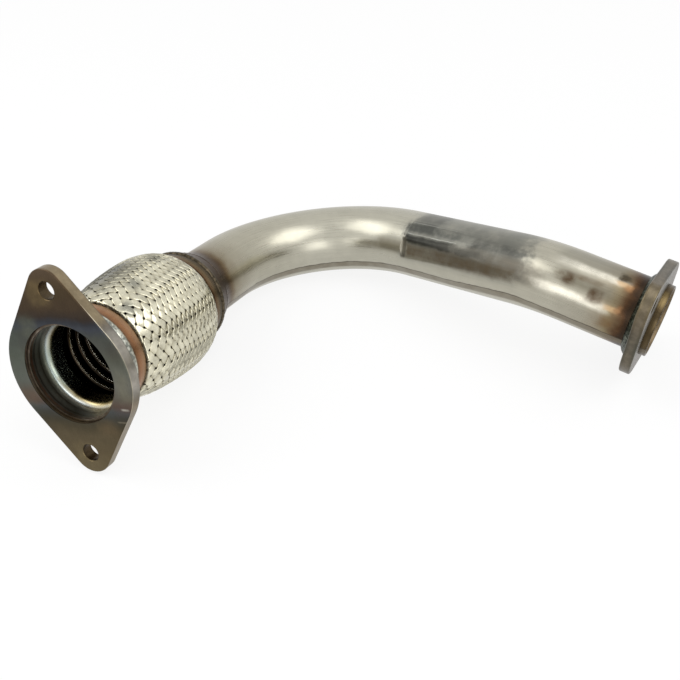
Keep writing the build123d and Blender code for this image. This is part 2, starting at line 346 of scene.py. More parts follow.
@dataclass(frozen=True)
class Patch:
    """An area of another colour, soft at its edges, in the coordinates of the finish in millimetres."""

    middle: tuple[float, float, float]
    half: tuple[float, float, float]
    soft: tuple[float, float, float]
    colour: str
    share: float = 1.0
    roughness: float | None = None
    ragged: tuple[float, float, float] = (1.6, 1.6, 0.5)
    cloudy: float = 0.3

    def mask(self, tree: Tree, spot: Socket, wander: Socket, cloud: Socket) -> Socket:
        """How strongly the patch covers a point.

        Args:
            tree: the material's tree.
            spot: the measured coordinates, in metres.
            wander: noise in three channels, for the edges.
            cloud: noise that thins the patch in places.

        Returns:
            A factor from 0 to the patch's share.
        """
        shift = add_node(tree, "VectorMath", {"operation": "MULTIPLY_ADD"}, {
            0: wander, 1: tuple(2 * reach * MM for reach in self.ragged),
            2: tuple(-reach * MM for reach in self.ragged)})
        moved = add_node(tree, "VectorMath", {"operation": "ADD"}, {0: spot, 1: shift})
        away = add_node(tree, "VectorMath", {"operation": "SUBTRACT"}, {
            0: moved, 1: tuple(place * MM for place in self.middle)})
        away = add_node(tree, "VectorMath", {"operation": "ABSOLUTE"}, {0: away})
        edges = tuple(zip(self.half, self.soft))
        smooth = {"data_type": "FLOAT_VECTOR", "interpolation_type": "SMOOTHSTEP"}
        inside = add_node(tree, "MapRange", smooth, {
            VECTOR: away, VECTOR_FROM_LOW: tuple((half + soft) * MM for half, soft in edges),
            VECTOR_FROM_HIGH: tuple(max(half - soft, 0) * MM for half, soft in edges)}, out=1)
        mask = add_node(tree, "MapRange", inputs={
            VALUE: cloud, FROM_LOW: CLOUD_LOW, FROM_HIGH: 1 - CLOUD_LOW,
            TO_LOW: self.share * (1 - self.cloudy), TO_HIGH: self.share})
        for axis, half in zip("XYZ", self.half):
            if half < ANY:
                part = add_node(tree, "SeparateXYZ", inputs={0: inside}, out=axis)
                mask = add_node(tree, "Math", {"operation": "MULTIPLY"}, {0: part, 1: mask})
        return mask


@dataclass(frozen=True)
class SteelFinish:
    """A steel surface: bands of colour, patches over them, mottling, and a grain in gloss and relief.

    The grain's three sizes are those of its noise along x, y and z, the mottling and the streaks
    are shares of the colour, and the gloss spreads by so much either way.
    """

    name: str
    bands: Bands
    roughness: float
    placing: Placing = INLET
    patches: tuple[Patch, ...] = ()
    ragged_mm: float = 3.5
    grain_mm: tuple[float, float, float] = (0.8, 0.8, 0.8)
    relief_mm: float = 0.01
    mottle_mm: float = 4.0
    mottle: float = 0.1
    streak: float = 0.04
    gloss_spread: float = 0.06

    def place(self, tree: Tree) -> Socket:
        """Coordinates that the noise follows: here the piece's local frame."""
        return self.local(tree)

    def spot(self, tree: Tree) -> Socket:
        """Coordinates that the patches follow: here the piece's local frame."""
        return self.local(tree)

    def band_spot(self, tree: Tree) -> Socket:
        """Coordinates that the bands follow: here the same as the patches."""
        return self.spot(tree)

    def local(self, tree: Tree) -> Socket:
        """The piece's local frame, in metres."""
        place = add_node(tree, "TexCoord", out="Object")
        return add_node(tree, "Mapping", {"vector_type": "TEXTURE"}, {
            "Vector": place, "Location": tuple(self.placing.origin), "Rotation": self.placing.euler()})

    def material(self) -> Material:
        """Build the material.

        Returns:
            The finished material.
        """
        material = bpy.data.materials.new(self.name)
        material.use_nodes = True
        tree = material.node_tree
        tree.nodes.clear()
        place, spot = self.place(tree), self.spot(tree)
        colour = self.bands.colour(tree, self.band_spot(tree), place)
        stretched = add_node(tree, "VectorMath", {"operation": "DIVIDE"}, {
            0: place, 1: tuple(size * MM for size in self.grain_mm)})
        grain = add_node(tree, "TexNoise", inputs={"Vector": stretched, "Scale": 1.0, "Detail": 3.0})
        mottle = add_node(tree, "TexNoise", inputs={
            "Vector": place, "Scale": 1 / (self.mottle_mm * MM), "Detail": 5.0, "Roughness": 0.6})
        rough, streak, depth = (add_node(tree, "MapRange", inputs={
            VALUE: noise, FROM_LOW: low, FROM_HIGH: 1 - low,
            TO_LOW: middle - spread, TO_HIGH: middle + spread})
            for noise, low, middle, spread in ((grain, GRAIN_LOW, self.roughness, self.gloss_spread),
                                               (grain, GRAIN_LOW, 1, self.streak),
                                               (mottle, MOTTLE_LOW, 1, self.mottle)))
        if self.patches:
            wander = add_node(tree, "TexNoise", inputs={
                "Vector": place, "Scale": 1 / (self.ragged_mm * MM), "Detail": 4.0,
                "Roughness": 0.6}, out="Color")
        for patch in self.patches:
            mask = patch.mask(tree, spot, wander, mottle)
            colour = add_node(tree, "Mix", {"data_type": "RGBA"}, {
                SHARE: mask, COLOUR_A: colour, COLOUR_B: linear(patch.colour)}, out=2)
            if patch.roughness is not None:
                rough = add_node(tree, "Mix", {"data_type": "FLOAT"}, {
                    SHARE: mask, NUMBER_A: rough, NUMBER_B: patch.roughness})
        depth = add_node(tree, "Math", {"operation": "MULTIPLY"}, {0: depth, 1: streak})
        colour = add_node(tree, "VectorMath", {"operation": "SCALE"}, {0: colour, "Scale": depth})
        bump = add_node(tree, "Bump", inputs={
            "Height": grain, "Strength": 1.0, "Distance": self.relief_mm * MM})
        surface = add_node(tree, "BsdfPrincipled", inputs={
            "Base Color": colour, "Metallic": 1.0, "Roughness": rough, "Normal": bump})
        add_node(tree, "OutputMaterial", inputs={"Surface": surface})
        return material


@dataclass(frozen=True)
class TubeFinish(SteelFinish):
    """Finish of the bent tube, in distance along it, arc around it and arc from its seam."""

    radius: float = TUBE_RADIUS

    def place(self, tree: Tree) -> Socket:
        """The tube's surface as if it were straight."""
        return add_node(tree, "Attribute", {"attribute_name": "rolled_out"}, out="Vector")

    def spot(self, tree: Tree) -> Socket:
        """Coordinates that the bands and patches follow.

        Args:
            tree: the material's tree.

        Returns:
            Distance along the tube, arc around it and arc from the seam, in metres.
        """
        straight = self.place(tree)
        x, y, z = (add_node(tree, "SeparateXYZ", inputs={0: straight}, out=axis) for axis in "XYZ")
        turn = add_node(tree, "Math", {"operation": "ARCTAN2"}, {0: z, 1: y})
        arc = add_node(tree, "Math", {"operation": "MULTIPLY"}, {0: turn, 1: self.radius * MM})
        seam = add_node(tree, "Attribute", {"attribute_name": "seam_place"}, out="Vector")
        from_seam = add_node(tree, "Math", {"operation": "SUBTRACT"}, {
            0: arc, 1: add_node(tree, "SeparateXYZ", inputs={0: seam}, out="X")})
        return add_node(tree, "CombineXYZ", inputs={0: x, 1: arc, 2: from_seam})


@dataclass(frozen=True)
class BraidFinish(SteelFinish):
    """Finish of the braid, whose bands follow how high each wire stands in the weave: painted highlight on
    the crowns, painted shade in the hollows.
    """

    def band_spot(self, tree: Tree) -> Socket:
        """Distance along the bundle, across it and up from the braid's middle, in metres."""
        return add_node(tree, "Attribute", {"attribute_name": "rolled_out"}, out="Vector")


def on_tube(station: float, turn: float, half_length: float, half_turn: float, soft: float, colour: str,
            share: float = 1.0, roughness: float | None = None, ragged: float = 1.5,
            cloudy: float = 0.3) -> Patch:
    """A patch on the bent tube.

    Args:
        station: its middle's distance from the inlet face, in millimetres.
        turn: its middle's turn around the tube, in degrees.
        half_length: half its length, in millimetres.
        half_turn: half its width, in degrees.
        soft: how far its edges fade, in millimetres; around the tube at most 0.6 of half its width.
        colour: its colour.
        share: how much of it shows.
        roughness: its roughness, or none to keep what lies beneath.
        ragged: how far its edges wander along the tube, in millimetres; a sixth of it around.
        cloudy: how much of it thins out in clouds.

    Returns:
        The patch.
    """
    arc = math.radians(1) * TUBE_RADIUS
    soft_around = min(soft, 0.6 * half_turn * arc)
    return Patch((station, turn * arc, 0), (half_length, half_turn * arc, ANY), (soft, soft_around, 1),
                 colour, share, roughness, (ragged, ragged / 6, 0), cloudy)


# Marks on the tube, in the order of on_tube's arguments: the rubbed field and its strips, with a dark
# patch in it that is partly painted shade to dim a lamp's reflection; painted shade over the edge where
# the press tool stopped, to dim its highlight; patches beyond the field, two pale rows of them painted
# highlights; scorch spots; copper beside the far weld, partly lightened into painted highlights, and
# brown; and a painted gold highlight on the proud end.
TUBE_MARKS_AND_PAINTED_LIGHT: tuple[tuple[Any, ...], ...] = (
    (379, 24, 47, 58, 6, "#7e7e77", 0.95, 0.38, 14, 0.35),
    (346, -8, 11, 22, 5, "#62625c", 0.8, 0.38, 9, 0.5),
    # Partly painted shade: this dark patch in the rubbed field also dims a lamp's reflection there.
    (406, 36, 22, 21, 8, "#454541", 0.92, 0.4, 14, 0.4),
    (400, 12, 24, 12, 6, "#74746c", 0.7, 0.38, 12, 0.7),
    (404, 60, 34, 16, 7, "#655f54", 0.75, 0.4, 12, 0.5),
    (342, 27, 11, 9.5, 2.5, "#3d3e3b", 0.9, 0.34, 6, 0.3),
    (358, 26.5, 22, 9, 12, "#464743", 0.85, 0.36, 14, 0.4),
    (352, 49, 21, 8.5, 4, "#33332f", 1.0, 0.36, 9, 0.1),
    (379, 51, 20, 6, 9, "#45443f", 0.85, 0.36, 12, 0.3),
    (354, 39.5, 21, 0.7, 0.6, "#b6b6ae", 0.6, 0.3, 3, 0.7),
    (352, 17.5, 19, 0.7, 0.5, "#a9a9a2", 0.45, 0.26, 3, 0.8),
    (364, 60.5, 32, 2.2, 1.2, "#77756c", 0.6, 0.36, 4, 0.6),
    (378, 70, 44, 9.5, 3, "#655a49", 0.92, 0.42, 9, 0.4),
    # Painted shade: a dark strip over the press tool's stopping edge, dimming the highlight on its ramp.
    (332, 66, 1.9, 18, 0.9, "#48453c", 0.9, 0.6, 1),
    (318, 66, 14, 11, 6, "#7a7466", 0.75, 0.34, 6),
    (459, -2, 20, 16, 6, "#89867a", 0.7, 0.34, 6, 0.5),
    # Painted highlights: the two pale rows beyond the field.
    (460, 19, 19, 6, 5, "#dad6c8", 0.65, 0.26, 8, 0.5),
    (455, 67, 20, 7, 5, "#dad6c8", 0.65, 0.26, 8, 0.4),
    (460, 42, 17, 10, 4, "#7c7767", 0.85, 0.36, 6, 0.4),
    (449.5, 43, 2.8, 10, 3.4, "#4b3826", 0.9, 0.42, 6, 0.3),
    (466.5, 54, 4.0, 11, 4.0, "#4b3826", 0.9, 0.42, 7, 0.3),
    (461, 35, 7, 4, 2.2, "#5f4e3a", 0.6, 0.4, 4, 0.5),
    (478, 9, 1.6, 9, 3.0, "#352c20", 0.9, 0.42, 6, 0.3),
    # Copper heat colour beside the far weld; the two paler patches are lightened into painted highlights
    # where the pale rows cross it.
    (479, 21, 3.8, 4, 2.6, "#b99c78", 0.8, 0.32, 5, 0.35),
    (483.5, 24, 1.4, 5, 1.6, "#9a7450", 0.75, 0.34, 4, 0.4),
    (478, 63, 3.8, 4, 2.6, "#b39570", 0.8, 0.32, 5, 0.35),
    (482.5, 60, 1.4, 6, 1.6, "#8d6746", 0.7, 0.34, 4, 0.4),
    (477, 86, 4, 9, 2.4, "#74593a", 0.7, 0.38, 5, 0.4),
    # Painted highlight: a gold patch on the proud end.
    (501, 18, 3, 14, 2, "#85734d", 0.7, 0.34, 2, 0.4),
)


@dataclass
class Tube:
    """The bent tube: a flared end, two bends, two pressed facets and a weld seam along its side."""

    radius: float = TUBE_RADIUS
    wall: float = 1.5
    end: float = 505.31
    row_steps: tuple[tuple[float, float, float], ...] = (
        (119.5, 164.9, 2.6), (164.9, 320.0, 1.6), (320.0, 328.6, 2.0), (328.6, 332.0, 0.4),
        (332.0, 412.0, 2.0), (412.0, 451.4, 1.6), (451.4, 505.31, 2.4))
    rim_rows: tuple[float, ...] = (0.25, 0.02)
    rim_round: float = 0.3
    flare: Pairs = (
        (119.5, 26.4), (124.0, 24.95), (128.0, 23.95), (132.0, 23.0), (136.0, TUBE_RADIUS))
    press_depth: float = 1.1
    press_start: float = 11.0
    press_length: float = 80.0
    press_ramp: float = 1.5
    press_turns: tuple[float, ...] = (-48.0, -14.0)
    seam_turns: Pairs = (
        (119.0, 111.0), (240.0, 111.0), (300.0, 109.0), (330.0, 105.5), (370.0, 107.0), (398.0, 103.5),
        (424.0, 101.5), (440.0, 105.5), (505.0, 106.5))
    seam_height: float = 0.2
    seam_spread: float = 1.6
    around: int = 172
    # Stainless steel tube, drawn and seam welded, then bent: a warm mid-grey satin with soft
    # lengthwise streaks, straw and brown where the end welds heated it, and a rubbed dark grey
    # field where the press tool held it. Some of the marks on it are painted highlights and painted
    # shade. The streaks are drawn about 1 mm wide; real ones are finer.
    outside: TubeFinish = TubeFinish(
        "tube_stainless_drawn_satin", Bands(Measure.X, (
        (119.5, "#2b231b"), (128.0, "#38291a"), (134.0, "#45341f"), (137.5, "#66563f"), (142.0, "#857c69"),
        (150.0, "#9a9483"), (170.0, "#a9a595"), (240.0, "#b2afa1"), (330.0, "#afac9e"), (440.0, "#b0ac9d"),
        (462.0, "#a39e8f"), (473.0, "#958c7a"), (478.0, "#857960"), (482.0, "#6d5b45"), (485.5, "#523c2a"),
        (488.5, "#372b22"), (493.0, "#3a3024"), (499.0, "#4c3f2d"), (503.0, "#5a4d37"), (505.4, "#443a2a")),
        wander_mm=1.6, cloud_mm=7.0), 0.31,
        patches=tuple(on_tube(*mark) for mark in TUBE_MARKS_AND_PAINTED_LIGHT) + (
            Patch((0, 0, 3.2), (ANY, ANY, 2.9), (1, 1, 0.9), "#716858", 0.85, 0.4, (0, 0, 0.5), 0.3),
            Patch((0, 0, 0.2), (ANY, ANY, 0.42), (1, 1, 0.3), "#41392c", 0.9, 0.42, (0, 0, 0.8), 0.2)),
        ragged_mm=8.0, grain_mm=(30.0, 1.0, 1.0), relief_mm=0.008, mottle_mm=10.0, mottle=0.06, streak=0.05)
    # The same drawn stainless seen inside, where exhaust gas has left thin soot: darker and duller.
    bore: TubeFinish = TubeFinish(
        "tube_stainless_bore_sooted",
        Bands(Measure.X, ((119.5, "#3a322a"), (300.0, "#4a443b"), (480.0, "#574d40"), (505.4, "#6d5f4a"))),
        0.42, grain_mm=(20.0, 1.2, 1.2), relief_mm=0.02, mottle=0.2)

    def stations(self) -> np.ndarray:
        """Rows of the mesh along the tube: closer in the bends, at the press mark's edge and at the rim.

        Returns:
            Their distances from the inlet face, in millimetres.
        """
        rows = [np.linspace(low, high, max(2, round((high - low) / step)), endpoint=False)
                for low, high, step in self.row_steps]
        return np.concatenate(rows + [[self.end - back for back in self.rim_rows]])

    def surface(self, inset: float) -> tuple[np.ndarray, dict[str, np.ndarray]]:
        """Points of the tube's surface, and where they lie on a straightened tube.

        Args:
            inset: how far inside the outer surface, in millimetres.

        Returns:
            A grid in metres and its marks.
        """
        gone = self.stations()
        centre, up, side = (part[:, None] for part in ROUTE.walk(gone))
        angle = np.radians(np.arange(self.around) * 360 / self.around)[None, :, None]
        radius = np.interp(gone, *zip(*self.flare))[:, None, None]
        seam_turn = np.interp(gone, *zip(*self.seam_turns))[:, None, None]
        out = np.cos(angle) * up + np.sin(angle) * side
        seam = (np.degrees(angle) - seam_turn + 180) % 360 - 180
        ridge = self.seam_height * np.exp(-(seam / self.seam_spread) ** 2)
        rounded = np.clip((gone - self.end + self.rim_round) / self.rim_round, 0, 1)
        rim = rounded[:, None, None] * self.rim_round
        points = centre + out * (radius + (ridge - rim if inset == 0 else rim) - inset)
        _, run_start, run, inward = ROUTE.second_run()
        along = (points - np.array(run_start)) @ np.array(run)
        radius_here = self.radius - inset
        lead, far = self.press_start - self.press_ramp, self.press_start + self.press_length
        limit = np.interp(along, (lead, self.press_start, far),
                          (radius_here, radius_here - self.press_depth, radius_here))
        for turn in self.press_turns:
            normal = np.array(Matrix.Rotation(math.radians(turn), 3, run) @ inward)
            high = (points - np.array(run_start)) @ normal
            excess = np.where((along > lead) & (along < far), np.clip(high - limit, 0, None), 0)
            points = points - excess[..., None] * normal
        shape = points.shape
        rolled = np.stack([np.broadcast_to(part, shape[:2] + (1,))[..., 0] for part in (
            gone[:, None, None], np.cos(angle) * radius, np.sin(angle) * radius)], -1)
        seam_place = np.zeros(shape)
        seam_place[..., 0] = np.radians(seam_turn[..., 0]) * self.radius
        return points * MM, {"rolled_out": rolled * MM, "seam_place": seam_place * MM}

    def build(self) -> list[Piece]:
        """Build and dress the tube.

        Returns:
            The piece, in a list of its own.
        """
        outside, outer_marks = self.surface(0.0)
        inside, inner_marks = self.surface(self.wall)
        places = np.concatenate([outside, inside[::-1]])
        marks = {label: np.concatenate([outer_marks[label], inner_marks[label][::-1]])
                 for label in outer_marks}
        piece = grid_mesh("bent_tube", places, marks, close_rows=True)
        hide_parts("main_pipe")
        dress(piece, self.outside.material())
        piece.data.materials.append(self.bore.material())
        bore = np.zeros(len(piece.data.polygons), np.int32)
        bore[len(outside) * self.around:] = 1
        piece.data.polygons.foreach_set("material_index", bore)
        return [piece]


class Lay(Enum):
    """The two ways that the braid's bundles wind around the joint."""

    RIGHT = 1
    LEFT = -1


@dataclass
class WovenBraid:
    """Wire braid over the flexible joint: flat bundles, each over two and under two.

    The pinch is the share of its width that a bundle loses at a corner of a crossing, and the
    hole's length is in crossings. The crossings give the distance from the inlet face at which
    a bundle has passed so many others.
    """

    bundles: int = 24
    wires: int = 7
    first_angle: float = 4.4
    pinch: float = 0.34
    hole_length: float = 0.21
    lift: float = 0.38
    steepness: float = 1.5
    wire_height: float = 0.16
    edge_drop: float = 0.2
    underside: tuple[float, ...] = (-0.5, -0.4, -0.5)
    rim_radius: float = 31.0
    belly_radius: float = 38.3
    start: float = 30.2
    end: float = 102.8
    tucked_radius: float = 28.7
    tuck_start: float = 0.5
    tuck_length: float = 1.1
    swell: Pairs = (
        (0.0, 0.0), (0.09, 0.31), (0.19, 0.58), (0.31, 0.77), (0.43, 0.89), (0.55, 0.97), (0.66, 1.0),
        (0.75, 0.97), (0.83, 0.85), (0.9, 0.66), (0.95, 0.38), (1.0, 0.0))
    crossings: Pairs = (
        (-2, 26.4), (0, 32.2), (2, 38.0), (4, 43.9), (6, 49.3), (8, 53.7), (10, 58.0), (12, 62.3), (14, 66.5),
        (16, 70.8), (18, 75.3), (20, 79.7), (22, 84.1), (24, 88.6), (26, 93.2), (28, 98.2), (30, 103.4),
        (32, 108.8))
    first_turn: float = -1.1
    last_turn: float = 30.3
    end_row_step: float = 0.08
    # Stainless wire, drawn bright and braided in flat bundles: pale and a little yellow from heat,
    # with painted highlight along the crowns and black-brown painted shade in the hollows and under
    # the bundles, greyer in a few patches, and a painted shadow line where it tucks under each ring.
    finish: BraidFinish = BraidFinish(
        "braid_stainless_wire_painted_crown_light_hollow_shade",
        Bands(Measure.Z, ((-0.8, "#17140e"), (-0.42, "#3b372b"), (-0.15, "#837d69"), (0.1, "#bab49d"),
                          (0.6, "#ddd9c3")), wander_mm=0.06, cloud_mm=5.0), 0.22,
        patches=(
            Patch((25, 21, 35.5), (4, 4, 3.5), (3, 3, 3), "#74756e", 0.85),
            Patch((33, 15, 52), (4, 4, 4), (3, 3, 3), "#6a6b64", 0.75),
            Patch((36, -12, 56), (7, 15, 18), (4, 7, 9), "#3a3a35", 0.85),
            Patch((37, 9, 83.5), (4, 4, 4), (3, 3, 3), "#6c6c63", 0.7),
            Patch((13, 33, 96.5), (4, 4, 2.5), (3, 3, 2), "#7c7c74", 0.6),
            # Painted shade: a dark line at each end where the braid tucks under its ring.
            Patch((0, 0, 29.9), (ANY, ANY, 0.3), (1, 1, 0.4), "#4a3520", 0.8, 0.4, (0, 0, 0.3), 0.1),
            Patch((0, 0, 102.6), (ANY, ANY, 0.7), (1, 1, 0.6), "#2a1b0b", 0.9, 0.4, (0, 0, 0.3), 0.1)),
        grain_mm=(0.7, 0.7, 0.7), relief_mm=0.01, mottle_mm=7.0, mottle=0.28)

    def radius_at(self, gone: np.ndarray) -> np.ndarray:
        """Radius of the braid's middle surface, tucked in under the end rings.

        Args:
            gone: distances from the inlet face, in millimetres.

        Returns:
            The radius at each, in millimetres.
        """
        share = np.clip((gone - self.start) / (self.end - self.start), 0, 1)
        grown = np.interp(share, *zip(*self.swell))
        body = self.rim_radius + (self.belly_radius - self.rim_radius) * grown
        outside = np.maximum(self.start + self.tuck_start - gone, gone - self.end + self.tuck_start)
        tucked = np.clip(outside / self.tuck_length, 0, 1) ** 1.5
        return body - tucked * (self.rim_radius - self.tucked_radius)

    def path(self, turn: np.ndarray) -> tuple[np.ndarray, np.ndarray, np.ndarray]:
        """Follow a bundle.

        Args:
            turn: how many crossings it has passed.

        Returns:
            The distance from the inlet face, the radius, and the distance gained per crossing.
        """
        gone = np.interp(turn, *zip(*self.crossings))
        return gone, self.radius_at(gone), np.gradient(gone, turn)

    def rows(self) -> np.ndarray:
        """Rows of a bundle's mesh: close together at its ends, and on the corners of every crossing.

        Returns:
            Crossings passed at each row.
        """
        whole = np.arange(0.0, round(self.last_turn))
        _, radius, slope = self.path(whole)
        step = math.radians(360 / (2 * self.bundles))
        corner = (radius * step) ** 2 / (slope ** 2 + (radius * step) ** 2)
        body = whole[:, None] + np.stack([0 * corner, 1 - corner, 0.75 - corner / 2, 0 * corner + 0.5,
                                          0.25 + corner / 2, corner], -1)
        head = np.arange(self.first_turn, -self.end_row_step / 2, self.end_row_step)
        tail = np.arange(whole[-1] + 1 - self.end_row_step, self.last_turn, self.end_row_step)
        return np.concatenate([head, body.ravel(), tail])

    def bundle(self, lay: Lay, index: int) -> tuple[np.ndarray, np.ndarray]:
        """Points of one bundle: ridged over its wires above, plain below.

        Args:
            lay: which way it winds.
            index: its number around the joint.

        Returns:
            A grid of local millimetres, and the same grid as along, across and height.
        """
        turn = self.rows()
        gone, radius, slope = self.path(turn)
        around = lay.value * turn + 2 * index
        step = math.radians(360 / (2 * self.bundles))
        length = np.hypot(slope, radius * step)
        cos_lean, sin_lean = slope / length, lay.value * radius * step / length
        pitch = 2 * slope * radius * step / length
        places = 2 * self.wires + 1
        across = np.linspace(-0.5, 0.5, places)
        ridge = self.wire_height * np.abs(np.sin(np.pi * self.wires * (across + 0.5)))
        upper = np.stack([across, ridge - self.edge_drop * (2 * across) ** 6], -1)
        lower = np.stack([across[[-1, places // 2, 0]], np.array(self.underside)], -1)
        section = np.concatenate([upper, lower])
        # The corners of the crossings, where both bundles narrow, don't lie at the halves: the more
        # a bundle leans, the nearer they come to the middle of the bundle that it crosses.
        width = np.empty((len(turn), len(section)))
        for side in (-1, 1):
            from_corner = (turn - side * sin_lean * np.abs(sin_lean) + 0.5) % 1 - 0.5
            hole = np.clip(1 - np.abs(from_corner) / self.hole_length, 0, 1)
            width[:, section[:, 0] * side >= 0] = (1 - self.pinch * hole)[:, None]
        offset = section[None, :, 0] * pitch[:, None] * width
        turn_here = turn[:, None] - offset * (sin_lean / slope)[:, None]
        around_here = around[:, None] + offset * (cos_lean / (radius * step))[:, None]
        # Over two and under two: level on the others and under them, with a soft step between.
        wave = np.cos(np.pi / 2 * ((around_here + lay.value * turn_here) / 2 + index - 0.5)) * lay.value
        level = np.clip(wave * self.steepness, -1, 1)
        height = self.lift * level * (1.5 - 0.5 * level ** 2) + section[None, :, 1]
        gone_here = gone[:, None] - offset * sin_lean[:, None]
        angle = math.radians(self.first_angle) + around_here * step
        radius_here = self.radius_at(gone_here) + height
        local = np.stack([radius_here * np.cos(angle), radius_here * np.sin(angle), gone_here], -1)
        along = np.cumsum(length * np.gradient(turn))[:, None] + 0 * offset
        return local, np.stack([along, offset, height], -1) * MM

    def build(self) -> list[Piece]:
        """Build and dress both sets of bundles.

        Returns:
            The two pieces.
        """
        finish = self.finish.material()
        pieces = []
        for lay, name in ((Lay.RIGHT, "braid_right_lay"), (Lay.LEFT, "braid_left_lay")):
            ribbons = []
            for index in range(self.bundles):
                local, rolled = self.bundle(lay, index)
                places = INLET.points(local)
                if lay is Lay.LEFT:
                    places, rolled = places[:, ::-1], rolled[:, ::-1]
                ribbons.append(grid_mesh(f"{name}_{index}", places, {"rolled_out": rolled}))
            piece = join_meshes(name, ribbons)
            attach(piece, BODY)
            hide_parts("outer_braid")
            pieces.append(dress(piece, finish))
        return pieces


@dataclass
class WeldBead:
    """A run bead around a tube, with the ripples that each drop of weld leaves.

    The outline is given as radius and distance from the open end, with two points at its root last.
    """

    name: str
    replaces: str
    placing: Placing
    outline: Pairs
    seed: int
    ripple_mm: float = 2.4
    ripple_height: float = 0.18
    ripple_sway: float = 0.8
    ripple_skew: float = 1.6
    wander: float = 0.25
    wander_waves: tuple[int, int] = (2, 14)
    wander_turn: float = 6.28
    around: int = 360

    def build(self, material: Material) -> Piece:
        """Build and dress the bead.

        Args:
            material: its finish.

        Returns:
            The piece.
        """
        noise = np.random.default_rng(self.seed)
        angle = np.arange(self.around) * 2 * np.pi / self.around
        radius = max(point[0] for point in self.outline)
        drops = round(2 * np.pi * radius / self.ripple_mm)
        phase = drops * angle + self.ripple_sway * np.sin(3 * angle + self.seed)
        ripple = self.ripple_height * (((phase / (2 * np.pi)) % 1) ** self.ripple_skew - 0.5)
        slow = sum(
            noise.uniform(-1, 1) * np.sin(waves * angle + noise.uniform(0, self.wander_turn)) / waves ** 0.5
            for waves in range(*self.wander_waves)) * self.wander / 2
        outline = np.array(self.outline)
        count = len(outline)
        crown = np.sin(np.pi * np.clip(np.arange(count) / (count - 3), 0, 1))
        crown[-2:] = 0
        swelling = crown[None, :] * (ripple + slow)[:, None]
        direction = np.gradient(outline[:-2], axis=0)
        outward = np.stack([-direction[:, 1], direction[:, 0]], -1)
        outward /= np.linalg.norm(outward, axis=1, keepdims=True)
        if outward[:, 0].sum() < 0:
            outward = -outward
        outward = np.concatenate([outward, np.zeros((2, 2))])
        profile = outline[None] + outward[None] * swelling[..., None]
        local = np.stack([profile[..., 0] * np.cos(angle)[:, None], profile[..., 0] * np.sin(angle)[:, None],
                          profile[..., 1]], -1)
        piece = grid_mesh(self.name, self.placing.points(local), close_rows=True)
        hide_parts(self.replaces)
        return dress(piece, material)


ARC_SHARES = tuple(i / 8 for i in range(9))
BEAD_BITE = 0.05  # how deep a bead's edges sit in the metal


def corner_outline(radius: float, face: float, leg: float, swell: float = 0.252, root: float = 0.3) -> Pairs:
    """Outline of a fillet bead between a tube and a face.

    Args:
        radius: the tube's outer radius.
        face: the face's distance from the open end.
        leg: how far the bead reaches along the tube and up the face.
        swell: how far it bows outward each way.
        root: how deep it sits in the tube's wall.

    Returns:
        Its points, from its toe on the tube to the face, and then its root.
    """
    bows = [swell * math.sin(math.pi * share) for share in ARC_SHARES]
    arc = tuple((radius + leg * share + bow, face + leg * (1 - share) + bow)
                for share, bow in zip(ARC_SHARES, bows))
    return arc + ((radius + leg, face - BEAD_BITE), (radius - root, face - BEAD_BITE))


def seam_outline(radius: float, middle: float, width: float, height: float, root: float = 0.4) -> Pairs:
    """Outline of a low bead over a joint in a tube's wall.

    Args:
        radius: the tube's outer radius.
        middle: the joint's distance from the open end.
        width: the bead's width.
        height: how far it stands out.
        root: how deep its root sits in the wall.

    Returns:
        Its points, from the near edge to the far one, and then its root.
    """
    arc = tuple((radius - BEAD_BITE + height * math.sin(math.pi * share),
                 middle - width * math.cos(math.pi * share) / 2) for share in ARC_SHARES)
    return arc + ((radius - root, middle + width / 2), (radius - root, middle - width / 2))


def weld_finish(name: str, placing: Placing, at: float, dark: str, middle: str, pale: str) -> SteelFinish:
    """Finish of a weld bead: its colours lie in small clouds over the ripples.

    Args:
        name: the material's name.
        placing: the frame of the bead.
        at: how far from the open end the bead lies, in millimetres.
        dark: colour of the scale.
        middle: colour of most of the bead.
        pale: colour of the bright flecks.

    Returns:
        The finish.
    """
    # Steel weld metal, cooled from the arc with a skin of scale: semi-matt, lumpy, mixed greys.
    # The wander is much wider than the bead, so that its colours follow the clouds alone.
    clouds = Bands(Measure.Z, ((at - 8.0, dark), (at - 2.6, middle), (at + 2.6, middle), (at + 8.0, pale)),
                   wander_mm=14.0, cloud_mm=2.2)
    return SteelFinish(name, clouds, 0.38, placing, grain_mm=(0.9, 0.9, 0.9), relief_mm=0.05,
                       mottle_mm=1.6, mottle=0.25, gloss_spread=0.1)


